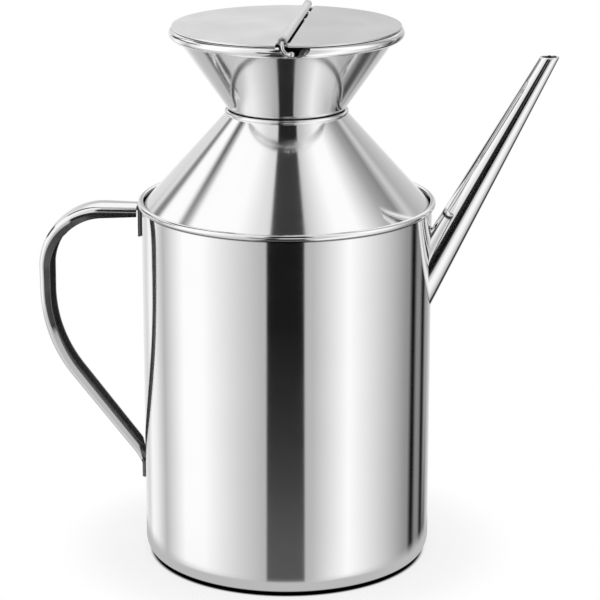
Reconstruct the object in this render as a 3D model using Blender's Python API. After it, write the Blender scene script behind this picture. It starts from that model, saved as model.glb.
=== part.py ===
"""A one-litre steel oil can with a funnel mouth, a half-hinged lid, a tapered spout and a strip handle.

Lengths are in metres and angles in degrees. The can stands on the origin with its axis along Z. The spout
leaves the wall towards +X, the handle is on the -X side, and the lid's hinge runs along Y.
"""

import math

import bmesh
import bpy
from mathutils import Vector

# Clearances and sheet
SEAM_GAP = 0.0003
SHEET = 0.0006
LATHE_STEPS = 48

# Body cup
BODY_RADIUS = 0.050
BASE_CORNER_RADIUS = 0.0035
BEAD_ABOVE_SPOUT = 0.0206
BEAD_RADIUS = 0.0011
BEAD_OVERHANG = 0.0001

# Shoulder cone and its collar at the neck
SKIRT_LENGTH = 0.0040
SHOULDER_EDGE_DROP = 0.0004
NECK_BORE_RADIUS = 0.0188
COLLAR_BEAD_HEIGHT = 0.1573
COLLAR_BEAD_RADIUS = 0.00075

# Funnel mouth
NECK_TUBE_INSERT = 0.0038
FUNNEL_FOOT_RISE = 0.0010
RIM_RADIUS = 0.03995
RIM_HEIGHT = 0.1841
RIM_ROLL_RADIUS = 0.00175
RIM_NOTCH_LEAD = 0.0008
RIM_NOTCH_TRAIL = 0.0050
RIM_NOTCH_CLEARANCE = 0.0004

# Lid and hinge
LID_EDGE_INSET = 0.00075
HINGE_OFFSET = 0.0030
KNUCKLE_RADIUS = 0.0015
PIN_CLEARANCE = 0.0003
KNUCKLE_END_MARGIN = 0.0062
END_KNUCKLE_LENGTH = 0.0032
LID_EDGE_GAP = 0.0006
CURL_TURN = 285.0
PIN_TAIL_DROP = 0.0036
PIN_TAIL_REACH = 0.0043
PIN_TAIL_OUTSET = 0.0021
PIN_HEAD_RADIUS = 0.00095

# Spout
SPOUT_BASE_HEIGHT = 0.1048
SPOUT_LEAN = 28.0
SPOUT_TIP_HEIGHT = 0.1778
SPOUT_BASE_RADIUS = 0.0064
SPOUT_TIP_RADIUS = 0.0029
SPOUT_STEPS = 28

# Handle strip
HANDLE_SHEET = 0.0009
HANDLE_TAB_DEPTH = 0.0012
HANDLE_TOP_DEPTH = 0.0038
HANDLE_SHOULDER_DEPTH = 0.0052
HANDLE_GRIP_DEPTH = 0.0042
HANDLE_TOP_CORNER = 0.0030
HANDLE_GRIP_CORNER = 0.0018
HANDLE_TOP_DROP = 0.0022
HANDLE_REACH = 0.0869
HANDLE_TOP_WIDTH = 0.0136
HANDLE_GRIP_WIDTH = 0.0096
HANDLE_FOOT_WIDTH = 0.0086
HANDLE_TOP_BEND = 0.0014
HANDLE_SHOULDER_BEND = 0.0229
HANDLE_GRIP_BEND = 0.0500
HANDLE_FOOT_BEND = 0.0020
HANDLE_GRIP_LENGTH = 0.0089
HANDLE_LEAN = 38.5
FLANGE_SETBACK = 0.0001
FLANGE_RUN_OUT = 0.0050
TOP_TAB_LENGTH = 0.0092
FOOT_TAB_LENGTH = 0.0048

# Sizes that follow from the ones above
WALL_INNER_RADIUS = BODY_RADIUS - SHEET
BEAD_HEIGHT = SPOUT_BASE_HEIGHT + BEAD_ABOVE_SPOUT
SHOULDER_EDGE_HEIGHT = BEAD_HEIGHT - SHOULDER_EDGE_DROP
COLLAR_INNER_RADIUS = NECK_BORE_RADIUS + SHEET + SEAM_GAP
NECK_TUBE_BOTTOM = COLLAR_BEAD_HEIGHT - NECK_TUBE_INSERT
RIM_TOP = RIM_HEIGHT + RIM_ROLL_RADIUS
HINGE_HEIGHT = RIM_TOP + SEAM_GAP + KNUCKLE_RADIUS
LID_RADIUS = RIM_RADIUS - LID_EDGE_INSET
FLAP_KNUCKLE_LENGTH = 2.0 * (LID_RADIUS - KNUCKLE_END_MARGIN)
PIN_RADIUS = KNUCKLE_RADIUS - SHEET - PIN_CLEARANCE
RIM_NOTCH_WIDTH = RIM_NOTCH_LEAD + PIN_TAIL_REACH + RIM_NOTCH_TRAIL
RIM_NOTCH_OFFSET = 0.5 * RIM_NOTCH_WIDTH - RIM_NOTCH_LEAD
RIM_NOTCH_DEPTH = RIM_TOP - HINGE_HEIGHT + PIN_TAIL_DROP + PIN_HEAD_RADIUS + RIM_NOTCH_CLEARANCE
HANDLE_TOP_HEIGHT = BEAD_HEIGHT - HANDLE_TOP_DROP


# Looks
def make_steel(name, colour, roughness):
    """A stainless steel finish as one Principled material."""
    material = bpy.data.materials.new(name)
    material.use_nodes = True
    shader = material.node_tree.nodes["Principled BSDF"]
    shader.inputs["Base Color"].default_value = (*colour, 1.0)
    shader.inputs["Metallic"].default_value = 1.0
    shader.inputs["Roughness"].default_value = roughness
    material.diffuse_color = (*colour, 1.0)
    return material


# Mesh helpers
def add_object(name, mesh_builder, material, location=(0.0, 0.0, 0.0)):
    """Turns a bmesh into a named object with its own finish and smooth shading."""
    bmesh.ops.recalc_face_normals(mesh_builder, faces=mesh_builder.faces)
    mesh = bpy.data.meshes.new(name)
    mesh_builder.to_mesh(mesh)
    mesh_builder.free()
    mesh.shade_smooth()
    mesh.set_sharp_from_angle(angle=math.radians(35.0))
    if material is not None:
        mesh.materials.append(material)
    part = bpy.data.objects.new(name, mesh)
    part.location = location
    bpy.context.scene.collection.objects.link(part)
    return part


def as_cutter(helper):
    """Keeps a helper solid out of the finished object."""
    helper.hide_render = True
    helper.display_type = "WIRE"
    return helper


def add_boolean(part, helper, operation):
    """Combines a part with a helper solid through a Boolean modifier."""
    modifier = part.modifiers.new(helper.name, "BOOLEAN")
    modifier.operation = operation
    modifier.solver = "EXACT"
    modifier.object = helper


def arc_points(centre, radius, start, end, steps):
    """Points on an arc in the profile plane, from one angle to the other."""
    points = []
    for step in range(steps + 1):
        angle = math.radians(start + (end - start) * step / steps)
        points.append((centre[0] + radius * math.cos(angle), centre[1] + radius * math.sin(angle)))
    return points


def lathe(name, profile, material, open_ends=False):
    """Spins a profile of (radius, height) points round the Z axis."""
    builder = bmesh.new()
    verts = [builder.verts.new((radius, 0.0, height)) for radius, height in profile]
    edges = [builder.edges.new(pair) for pair in zip(verts, verts[1:])]
    if not open_ends:
        edges.append(builder.edges.new((verts[-1], verts[0])))
    bmesh.ops.spin(
        builder,
        geom=verts + edges,
        cent=(0.0, 0.0, 0.0),
        axis=(0.0, 0.0, 1.0),
        angle=2.0 * math.pi,
        steps=LATHE_STEPS,
    )
    bmesh.ops.remove_doubles(builder, verts=builder.verts, dist=0.000001)
    return add_object(name, builder, material)


def skin(name, rings, material, location=(0.0, 0.0, 0.0)):
    """Joins closed rings of points into one solid with a cap on each end."""
    builder = bmesh.new()
    rows = [[builder.verts.new(point) for point in ring] for ring in rings]
    for low, high in zip(rows, rows[1:]):
        count = len(low)
        for index in range(count):
            following = (index + 1) % count
            builder.faces.new((low[index], low[following], high[following], high[index]))
    caps = [builder.faces.new(rows[0]), builder.faces.new(rows[-1])]
    bmesh.ops.triangulate(builder, faces=caps, ngon_method="EAR_CLIP")
    return add_object(name, builder, material, location)


def prism_along_y(name, outline, low, high, material=None, location=(0.0, 0.0, 0.0)):
    """Extrudes an outline of (x, z) points from one y to another."""
    near = [(x, low, z) for x, z in outline]
    far = [(x, high, z) for x, z in outline]
    return skin(name, [near, far], material, location)


def add_box(name, low, high, location=(0.0, 0.0, 0.0)):
    """A helper box between two corners."""
    outline = [(low[0], low[2]), (high[0], low[2]), (high[0], high[2]), (low[0], high[2])]
    return as_cutter(prism_along_y(name, outline, low[1], high[1], location=location))


# Body cup
def build_body_cup(material):
    """The drawn wall and bottom, from the underside's centre up to the bead and back down inside."""
    corner = (BODY_RADIUS - BASE_CORNER_RADIUS, BASE_CORNER_RADIUS)
    bead = (BODY_RADIUS + BEAD_OVERHANG, BEAD_HEIGHT)
    inner_turn = math.degrees(math.acos((WALL_INNER_RADIUS - bead[0]) / BEAD_RADIUS))
    outer_turn = -math.degrees(math.acos((BODY_RADIUS - bead[0]) / BEAD_RADIUS))
    profile = [(0.0, 0.0)]
    profile += arc_points(corner, BASE_CORNER_RADIUS, -90.0, 0.0, 5)
    profile += arc_points(bead, BEAD_RADIUS, outer_turn, inner_turn, 9)
    profile += arc_points(corner, BASE_CORNER_RADIUS - SHEET, 0.0, -90.0, 4)
    profile.append((0.0, SHEET))
    cup = lathe("body_cup", profile, material, open_ends=True)
    add_boolean(cup, build_spout_bore(), "DIFFERENCE")
    return cup


# Shoulder cone
def build_shoulder_cone(material):
    """The skirt inside the body's bead, the cone, and the rolled collar round the neck."""
    skirt_outer = WALL_INNER_RADIUS - SEAM_GAP
    bead = (COLLAR_INNER_RADIUS + COLLAR_BEAD_RADIUS, COLLAR_BEAD_HEIGHT)
    collar_outer = (bead[0] + 0.5 * COLLAR_BEAD_RADIUS, bead[1] - COLLAR_BEAD_RADIUS)
    slope = Vector((skirt_outer - collar_outer[0], collar_outer[1] - SHOULDER_EDGE_HEIGHT)).normalized()
    inset = (slope.y * SHEET, slope.x * SHEET)
    skirt_bottom = SHOULDER_EDGE_HEIGHT - SKIRT_LENGTH
    skirt_inner = skirt_outer - SHEET
    inner_edge_height = SHOULDER_EDGE_HEIGHT + SHEET * (slope.y - 1.0) / slope.x
    collar_bottom_radius = COLLAR_INNER_RADIUS
    run = collar_outer[0] - inset[0] - collar_bottom_radius
    collar_bottom = collar_outer[1] - inset[1] + run * slope.y / slope.x
    profile = [(skirt_inner, skirt_bottom), (skirt_outer, skirt_bottom), (skirt_outer, SHOULDER_EDGE_HEIGHT)]
    profile.append(collar_outer)
    profile += arc_points(bead, COLLAR_BEAD_RADIUS, -50.0, 180.0, 8)
    profile.append((collar_bottom_radius, collar_bottom))
    profile.append((skirt_inner, inner_edge_height))
    return lathe("shoulder_cone", profile, material)


# Funnel mouth
def build_funnel_mouth(material):
    """The neck tube, the funnel and its rolled rim, notched for the hinge pin's tails."""
    roll = (RIM_RADIUS - RIM_ROLL_RADIUS, RIM_HEIGHT)
    tube_outer = NECK_BORE_RADIUS + SHEET
    collar_top = COLLAR_BEAD_HEIGHT + COLLAR_BEAD_RADIUS
    foot = (tube_outer + 0.9 * FUNNEL_FOOT_RISE, collar_top + 0.7 * FUNNEL_FOOT_RISE)
    brim = (roll[0] - 0.8 * RIM_ROLL_RADIUS, roll[1] - 1.09 * RIM_ROLL_RADIUS)
    slope = Vector((brim[0] - foot[0], brim[1] - foot[1])).normalized()
    inset = (slope.y * SHEET, slope.x * SHEET)
    inner_roll = RIM_ROLL_RADIUS - SHEET
    curl_end = -115.0
    profile = [(NECK_BORE_RADIUS, NECK_TUBE_BOTTOM), (tube_outer, NECK_TUBE_BOTTOM)]
    profile.append((tube_outer, foot[1] - FUNNEL_FOOT_RISE))
    profile += [foot, brim]
    profile += arc_points(roll, inner_roll, 180.0, curl_end, 10)
    profile += arc_points(roll, RIM_ROLL_RADIUS, curl_end, 180.0, 12)
    profile.append((brim[0] - inset[0], brim[1] + inset[1]))
    profile.append((foot[0] - inset[0], foot[1] + inset[1]))
    profile.append((NECK_BORE_RADIUS, foot[1] - FUNNEL_FOOT_RISE + 0.5 * SHEET))
    funnel = lathe("funnel_mouth", profile, material)
    for side, label in ((-1.0, "front"), (1.0, "back")):
        add_boolean(funnel, build_rim_notch(side, label), "DIFFERENCE")
    return funnel


def build_rim_notch(side, label):
    """The rounded cut through the rim's upper half at one end of the hinge."""
    centre = (HINGE_OFFSET + RIM_NOTCH_OFFSET, RIM_TOP)
    outline = []
    for step in range(16):
        angle = 2.0 * math.pi * step / 16
        across = 0.5 * RIM_NOTCH_WIDTH * math.cos(angle)
        outline.append((centre[0] + across, centre[1] + RIM_NOTCH_DEPTH * math.sin(angle)))
    reach = RIM_RADIUS + 2.0 * RIM_ROLL_RADIUS
    inner = RIM_RADIUS - 2.6 * RIM_ROLL_RADIUS
    low, high = sorted((side * inner, side * reach))
    return as_cutter(prism_along_y("rim_notch_" + label, outline, low, high))


# Spout
def spout_axis():
    """The middle of the spout's foot on the wall and its direction."""
    lean = math.radians(SPOUT_LEAN)
    return Vector((BODY_RADIUS, 0.0, SPOUT_BASE_HEIGHT)), Vector((math.sin(lean), 0.0, math.cos(lean)))


def spout_generator(angle, inset):
    """The line on the spout's surface at an angle round its axis, from the foot's to the tip's middle."""
    base, direction = spout_axis()
    length = (SPOUT_TIP_HEIGHT - SPOUT_BASE_HEIGHT) / direction.z
    outward = Vector((direction.z * math.cos(angle), math.sin(angle), -direction.x * math.cos(angle)))
    start = base + outward * (SPOUT_BASE_RADIUS - inset)
    end = base + direction * length + outward * (SPOUT_TIP_RADIUS - inset)
    return start, end - start


def spout_ring_on_wall(inset, wall_radius):
    """Where the spout's surface meets an upright cylinder round the can's axis."""
    ring = []
    for step in range(SPOUT_STEPS):
        start, along = spout_generator(2.0 * math.pi * step / SPOUT_STEPS, inset)
        square = along.x**2 + along.y**2
        half = start.x * along.x + start.y * along.y
        rest = start.x**2 + start.y**2 - wall_radius**2
        ring.append(start + along * ((math.sqrt(half**2 - square * rest) - half) / square))
    return ring


def spout_ring_at_tip(inset, height):
    """Where the spout's surface meets a level plane."""
    ring = []
    for step in range(SPOUT_STEPS):
        start, along = spout_generator(2.0 * math.pi * step / SPOUT_STEPS, inset)
        ring.append(start + along * ((height - start.z) / along.z))
    return ring


def build_spout_bore():
    """The helper that opens the wall behind the spout."""
    near = spout_ring_on_wall(SHEET, BODY_RADIUS + 0.002)
    far = spout_ring_on_wall(SHEET, BODY_RADIUS - 0.004)
    return as_cutter(skin("spout_bore", [far, near], None))


def build_spout(material):
    """The tapered tube, cut to the wall at its foot and cut level at its tip."""
    foot_radius = BODY_RADIUS + SEAM_GAP
    rings = [
        spout_ring_on_wall(0.0, foot_radius),
        spout_ring_at_tip(0.0, SPOUT_TIP_HEIGHT),
        spout_ring_at_tip(SHEET, SPOUT_TIP_HEIGHT),
        spout_ring_on_wall(SHEET, foot_radius),
    ]
    builder = bmesh.new()
    rows = [[builder.verts.new(point) for point in ring] for ring in rings]
    for row, following_row in zip(rows, rows[1:] + rows[:1]):
        for index in range(SPOUT_STEPS):
            following = (index + 1) % SPOUT_STEPS
            builder.faces.new((row[index], row[following], following_row[following], following_row[index]))
    return add_object("pouring_spout", builder, material)


# Lid and hinge
def curled_sheet(side, reach):
    """A sheet's outline that runs in from one side and curls up round the pin, about the hinge axis."""
    outline = [(side * reach, -KNUCKLE_RADIUS)]
    for angle_x, angle_z in arc_points((0.0, 0.0), KNUCKLE_RADIUS, -90.0, -90.0 + CURL_TURN, 14):
        outline.append((-side * angle_x, angle_z))
    for angle_x, angle_z in arc_points((0.0, 0.0), KNUCKLE_RADIUS - SHEET, -90.0 + CURL_TURN, -90.0, 12):
        outline.append((-side * angle_x, angle_z))
    outline.append((side * reach, SHEET - KNUCKLE_RADIUS))
    return outline


def build_lid_disc(name, location):
    """The helper disc that gives both halves their round edge."""
    builder = bmesh.new()
    bmesh.ops.create_cone(
        builder,
        cap_ends=True,
        segments=LATHE_STEPS,
        radius1=LID_RADIUS,
        radius2=LID_RADIUS,
        depth=8.0 * KNUCKLE_RADIUS,
    )
    bmesh.ops.translate(builder, verts=builder.verts, vec=(-HINGE_OFFSET, 0.0, 0.0))
    return as_cutter(add_object(name, builder, None, location))


def build_lid_half(name, side, material):
    """One half disc with its knuckles, with its origin on the hinge axis."""
    location = (HINGE_OFFSET, 0.0, HINGE_HEIGHT)
    beyond = LID_RADIUS + 2.0 * HINGE_OFFSET
    half = prism_along_y(name, curled_sheet(side, beyond), -beyond, beyond, material, location)
    add_boolean(half, build_lid_disc(name + "_disc", location), "INTERSECT")
    edge = side * (KNUCKLE_RADIUS + LID_EDGE_GAP)
    tall = 2.0 * KNUCKLE_RADIUS
    low_x, high_x = sorted((edge, -side * tall))
    middle = 0.5 * FLAP_KNUCKLE_LENGTH
    if side < 0.0:
        cuts = [(middle, beyond), (-beyond, -middle)]
    else:
        inner = middle + SEAM_GAP
        outer = inner + END_KNUCKLE_LENGTH
        cuts = [(-inner, inner), (outer, beyond), (-beyond, -outer)]
    for index, (low_y, high_y) in enumerate(cuts):
        cutter = add_box(f"{name}_cut_{index}", (low_x, low_y, -tall), (high_x, high_y, tall), location)
        add_boolean(half, cutter, "DIFFERENCE")
    return half


def build_hinge_pin(material):
    """The wire through the knuckles, with both tails bent down and aside into the rim's notches."""
    straight = 0.5 * FLAP_KNUCKLE_LENGTH + SEAM_GAP + END_KNUCKLE_LENGTH + 0.3 * PIN_RADIUS
    tail = [(0.0, 0.0, 0.0), (0.02, 0.43, 0.10), (0.05, 0.71, 0.35)]
    tail += [(0.12, 0.86, 0.65), (0.32, 0.95, 0.92), (0.56, 1.0, 1.0)]
    head = [(0.81, 1.0), (0.93, 0.72), (1.0, 0.25)]
    far_path = []
    for reach, out, drop in tail:
        y = straight + out * PIN_TAIL_OUTSET
        far_path.append(Vector((reach * PIN_TAIL_REACH, y, -drop * PIN_TAIL_DROP)))
    far_radii = [PIN_RADIUS] * len(tail)
    for reach, width in head:
        far_path.append(Vector((reach * PIN_TAIL_REACH, straight + PIN_TAIL_OUTSET, -PIN_TAIL_DROP)))
        far_radii.append(width * PIN_HEAD_RADIUS)
    near_path = [Vector((point.x, -point.y, point.z)) for point in reversed(far_path)]
    path = near_path + far_path
    radii = far_radii[::-1] + far_radii
    rings = []
    side = Vector((0.0, 0.0, 1.0))
    for index, point in enumerate(path):
        ahead = path[min(index + 1, len(path) - 1)]
        behind = path[max(index - 1, 0)]
        direction = (ahead - behind).normalized()
        side = (side - direction * side.dot(direction)).normalized()
        across = direction.cross(side)
        ring = []
        for step in range(10):
            angle = 2.0 * math.pi * step / 10
            ring.append(point + (side * math.cos(angle) + across * math.sin(angle)) * radii[index])
        rings.append(ring)
    return skin("hinge_pin", rings, material, (HINGE_OFFSET, 0.0, HINGE_HEIGHT))


# Handle strip
def trace_handle_path():
    """Stations down the strip's outer face, each as (x, z, heading, label), from tab to tab."""
    face = BODY_RADIUS + SEAM_GAP
    lean = math.radians(HANDLE_LEAN)
    after_grip = -HANDLE_REACH + HANDLE_GRIP_BEND * (1.0 - math.cos(lean))
    foot_start = -face - HANDLE_TAB_DEPTH - HANDLE_FOOT_BEND * (1.0 - math.cos(lean))
    diagonal = (foot_start - after_grip) / math.sin(lean)
    top_run = HANDLE_REACH - HANDLE_SHOULDER_BEND - face - HANDLE_TOP_BEND - FLANGE_SETBACK
    moves = [
        ("tab", TOP_TAB_LENGTH, 0.0, 2),
        ("top bend", HANDLE_TOP_BEND, 90.0, 4),
        ("flange start", FLANGE_SETBACK, 0.0, 1),
        ("top run", top_run, 0.0, 4),
        ("shoulder", HANDLE_SHOULDER_BEND, 90.0, 9),
        ("grip", HANDLE_GRIP_LENGTH, 0.0, 1),
        ("grip bend", HANDLE_GRIP_BEND, HANDLE_LEAN, 6),
        ("diagonal", diagonal, 0.0, 6),
        ("foot bend", HANDLE_FOOT_BEND, -HANDLE_LEAN, 3),
        ("foot tab", FOOT_TAB_LENGTH, 0.0, 2),
    ]
    x = -face
    z = HANDLE_TOP_HEIGHT - HANDLE_TOP_BEND - TOP_TAB_LENGTH
    heading = 90.0
    stations = [(x, z, heading, "tab")]
    for label, size, turn, steps in moves:
        for _ in range(steps):
            if turn == 0.0:
                step_length = size / steps
            else:
                step_length = 2.0 * size * math.sin(math.radians(0.5 * abs(turn) / steps))
                heading += 0.5 * turn / steps
            x += step_length * math.cos(math.radians(heading))
            z += step_length * math.sin(math.radians(heading))
            if turn != 0.0:
                heading += 0.5 * turn / steps
            stations.append((x, z, heading, label))
    return stations


def value_along(marks, length):
    """The value at a length along the strip, on straight ramps between (length, value) marks."""
    if length <= marks[0][0]:
        return marks[0][1]
    for (low, low_value), (high, high_value) in zip(marks, marks[1:]):
        if length <= high:
            return low_value + (high_value - low_value) * (length - low) / (high - low)
    return marks[-1][1]


def handle_section(half_width, depth, corner):
    """The channel's outline as (across, inward) points, with the web's outer face at zero."""
    outer_corner = min(corner, 0.95 * depth)
    inner_corner = min(outer_corner - 0.5 * HANDLE_SHEET, 0.85 * (depth - HANDLE_SHEET))
    inner_half = half_width - HANDLE_SHEET
    reach = HANDLE_SHEET + inner_corner
    outer_side = [(half_width, depth)]
    for x, z in arc_points((0.0, 0.0), outer_corner, 0.0, 90.0, 4):
        outer_side.append((half_width - outer_corner + x, outer_corner - z))
    outer_side.append((0.5 * (half_width - outer_corner), 0.0))
    inner_side = [(inner_half, depth)]
    for x, z in arc_points((0.0, 0.0), inner_corner, 0.0, 90.0, 3):
        inner_side.append((inner_half - inner_corner + x, reach - z))
    inner_side.append((0.5 * (inner_half - inner_corner), HANDLE_SHEET))
    outline = [(-x, z) for x, z in outer_side] + [(0.0, 0.0)] + outer_side[::-1]
    outline += inner_side + [(0.0, HANDLE_SHEET)] + [(-x, z) for x, z in reversed(inner_side)]
    return outline


def build_handle(material):
    """The channel swept along its path, flattened to a tab at each end that follows the wall."""
    stations = trace_handle_path()
    lengths = [0.0]
    for before, after in zip(stations, stations[1:]):
        lengths.append(lengths[-1] + math.dist(before[:2], after[:2]))
    end_of = {label: length for (_, _, _, label), length in zip(stations, lengths)}
    top_end = end_of["top bend"]
    flange_start = end_of["flange start"]
    shoulder_middle = 0.5 * (end_of["top run"] + end_of["shoulder"])
    grip_start = end_of["shoulder"]
    grip_end = end_of["grip bend"]
    foot_start = end_of["diagonal"]
    widths = [(top_end, HANDLE_TOP_WIDTH), (grip_start, HANDLE_GRIP_WIDTH), (grip_end, HANDLE_FOOT_WIDTH)]
    depths = [(top_end, HANDLE_TAB_DEPTH), (flange_start, HANDLE_TOP_DEPTH)]
    depths += [(shoulder_middle, HANDLE_SHOULDER_DEPTH), (grip_start, HANDLE_GRIP_DEPTH)]
    depths += [(foot_start - FLANGE_RUN_OUT, HANDLE_GRIP_DEPTH), (foot_start, HANDLE_TAB_DEPTH)]
    corners = [(end_of["top run"], HANDLE_TOP_CORNER), (grip_start, HANDLE_GRIP_CORNER)]
    wall_follow = [(end_of["tab"], 1.0), (top_end, 0.0), (foot_start, 0.0), (end_of["foot bend"], 1.0)]
    rings = []
    for (x, z, heading, _), length in zip(stations, lengths):
        half_width = 0.5 * value_along(widths, length)
        depth = value_along(depths, length)
        corner = value_along(corners, length)
        on_wall = value_along(wall_follow, length)
        inward = (-math.sin(math.radians(heading)), math.cos(math.radians(heading)))
        ring = []
        for across, in_by in handle_section(half_width, depth, corner):
            sag = on_wall * (BODY_RADIUS - math.sqrt(BODY_RADIUS**2 - across**2))
            ring.append((x + inward[0] * in_by + sag, across, z + inward[1] * in_by))
        rings.append(ring)
    return skin("handle_strip", rings, material)


# Assembly
def clear_scene():
    """Empties the scene of everything that a new file holds."""
    for leftover in list(bpy.data.objects):
        bpy.data.objects.remove(leftover, do_unlink=True)


def main():
    clear_scene()
    polished = (0.78, 0.78, 0.79)
    satin = (0.66, 0.66, 0.66)
    build_body_cup(make_steel("body_steel", polished, 0.08))
    build_shoulder_cone(make_steel("shoulder_steel", polished, 0.07))
    build_funnel_mouth(make_steel("funnel_steel", polished, 0.08))
    build_spout(make_steel("spout_steel", polished, 0.10))
    build_handle(make_steel("handle_steel", polished, 0.12))
    build_lid_half("lid_fixed_half", 1.0, make_steel("fixed_half_steel", satin, 0.30))
    build_lid_half("lid_flap", -1.0, make_steel("flap_steel", satin, 0.28))
    build_hinge_pin(make_steel("pin_steel", polished, 0.15))


main()
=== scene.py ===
"""Looks of the stainless steel oil can: fine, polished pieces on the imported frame, in a pale studio.

Lengths are in metres and angles in degrees. The can stands on the origin with its axis along Z, the spout
towards +X, the handle towards -X and the lid's hinge along Y.
"""

import math

import bmesh
import bpy
from mathutils import Matrix, Vector


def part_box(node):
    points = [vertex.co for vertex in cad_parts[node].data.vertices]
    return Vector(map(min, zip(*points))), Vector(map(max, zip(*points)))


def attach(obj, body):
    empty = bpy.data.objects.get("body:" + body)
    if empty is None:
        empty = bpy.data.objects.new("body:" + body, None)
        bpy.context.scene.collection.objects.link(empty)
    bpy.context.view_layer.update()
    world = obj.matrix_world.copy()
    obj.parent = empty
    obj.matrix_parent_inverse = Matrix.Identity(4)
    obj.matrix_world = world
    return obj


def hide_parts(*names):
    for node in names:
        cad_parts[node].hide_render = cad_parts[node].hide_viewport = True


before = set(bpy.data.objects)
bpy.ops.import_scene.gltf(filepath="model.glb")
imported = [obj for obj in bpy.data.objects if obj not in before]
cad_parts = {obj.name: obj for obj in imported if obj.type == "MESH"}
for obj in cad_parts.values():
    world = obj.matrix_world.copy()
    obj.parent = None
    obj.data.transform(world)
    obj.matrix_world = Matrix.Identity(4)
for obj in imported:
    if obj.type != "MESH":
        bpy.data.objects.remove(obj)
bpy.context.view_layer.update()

# Sizes read from the frame
BEAD_OUTER_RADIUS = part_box("body_cup")[1].x
BEAD_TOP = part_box("body_cup")[1].z
COLLAR_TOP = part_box("shoulder_cone")[1].z
NECK_TUBE_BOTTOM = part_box("funnel_mouth")[0].z
RIM_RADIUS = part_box("funnel_mouth")[1].x
RIM_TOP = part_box("funnel_mouth")[1].z
LID_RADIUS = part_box("lid_fixed_half")[1].x
LID_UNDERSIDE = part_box("lid_fixed_half")[0].z
LID_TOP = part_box("lid_fixed_half")[1].z
SPOUT_TIP_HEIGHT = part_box("pouring_spout")[1].z
HANDLE_REACH = -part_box("handle_strip")[0].x
HANDLE_TOP_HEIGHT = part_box("handle_strip")[1].z

# Sheet and fineness
SHEET = 0.0006
SEAM_GAP = 0.0003
CREASE_SUPPORT = 0.0003
LONG_STRAIGHT = 3.0 * CREASE_SUPPORT
STRAIGHT_SPACING = 0.004
TURNING_STEPS = 256
AXIS_TOLERANCE = 1e-7
CRISP_ANGLE = 32.0

# Body cup
BEAD_RADIUS = 0.0011
BEAD_OVERHANG = 0.0001
BODY_RADIUS = BEAD_OUTER_RADIUS - BEAD_RADIUS - BEAD_OVERHANG
BEAD_HEIGHT = BEAD_TOP - BEAD_RADIUS
BASE_CORNER_RADIUS = 0.0035
BASE_CORNER_HEIGHT = 0.0052
BASE_CORNER_STEPS = 24
INNER_CORNER_STEPS = 14
BEAD_STEPS = 32
BORE_CUT_OUTWARD = 0.002
BORE_CUT_INWARD = 0.004

# Shoulder cone
SKIRT_LENGTH = 0.0040
SHOULDER_EDGE_DROP = 0.0004
NECK_BORE_RADIUS = 0.0188
COLLAR_BEAD_RADIUS = 0.00075
COLLAR_FOOT_OUT = 0.5 * COLLAR_BEAD_RADIUS
COLLAR_CURL_START = -50.0
COLLAR_STEPS = 28

# Funnel mouth: its foot is placed in foot rises, and its brim, under the rim's roll, in radii of the roll
FUNNEL_FOOT_RISE = 0.0010
FUNNEL_FOOT_OUT = 0.9
FUNNEL_FOOT_UP = 0.7
RIM_ROLL_RADIUS = 0.00175
BRIM_IN = 0.8
BRIM_DOWN = 1.09
RIM_CURL_END = -132.0
RIM_SEAT_RISE = 0.0002
RIM_INNER_STEPS = 30
RIM_OUTER_STEPS = 40

# Lid and hinge
HINGE_OFFSET = 0.0030
KNUCKLE_RADIUS = 0.5 * (LID_TOP - LID_UNDERSIDE)
HINGE_HEIGHT = LID_UNDERSIDE + KNUCKLE_RADIUS
HINGE_PLACE = (HINGE_OFFSET, 0.0, HINGE_HEIGHT)
PIN_RADIUS = 0.0006
KNUCKLE_END_MARGIN = 0.0062
END_KNUCKLE_LENGTH = 0.0032
LID_EDGE_GAP = 0.0006
LID_EDGE_TRIM = 0.0003
LID_EDGE_ROUNDING = 0.00018
LID_EDGE_SEGMENTS = 2
LID_EDGE_ANGLE = 50.0
LID_CUT_REACH = 2.0 * KNUCKLE_RADIUS
LID_DISC_HALF_HEIGHT = 4.0 * KNUCKLE_RADIUS
CURL_TURN = 285.0
CURL_OUTER_STEPS = 42
CURL_INNER_STEPS = 36
PIN_TAIL_DROP = 0.0036
PIN_TAIL_REACH = 0.0043
PIN_TAIL_OUTSET = 0.0021
PIN_HEAD_RADIUS = 0.00095
PIN_STEPS = 20
# How far the pin runs past the last knuckle, in its radii, then its tail as shares of (reach, outset, drop)
# and its round head as shares of (reach, head radius)
PIN_END_PLAY = 0.3
PIN_TAIL = [
    (0.0, 0.0, 0.0),
    (0.02, 0.43, 0.10),
    (0.05, 0.71, 0.35),
    (0.12, 0.86, 0.65),
    (0.32, 0.95, 0.92),
    (0.56, 1.0, 1.0),
]
PIN_HEAD = [(0.70, 1.0), (0.86, 0.92), (0.95, 0.70), (1.0, 0.25)]

# Notch in the rim for each of the pin's tails
RIM_NOTCH_LEAD = 0.0008
RIM_NOTCH_TRAIL = 0.0050
RIM_NOTCH_CLEARANCE = 0.0004
RIM_NOTCH_WIDTH = RIM_NOTCH_LEAD + PIN_TAIL_REACH + RIM_NOTCH_TRAIL
RIM_NOTCH_OFFSET = 0.5 * RIM_NOTCH_WIDTH - RIM_NOTCH_LEAD
RIM_NOTCH_DEPTH = RIM_TOP - HINGE_HEIGHT + PIN_TAIL_DROP + PIN_HEAD_RADIUS + RIM_NOTCH_CLEARANCE
RIM_NOTCH_OUTER = RIM_RADIUS + 2.0 * RIM_ROLL_RADIUS
RIM_NOTCH_INNER = RIM_RADIUS - 2.6 * RIM_ROLL_RADIUS
RIM_NOTCH_STEPS = 48

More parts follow.
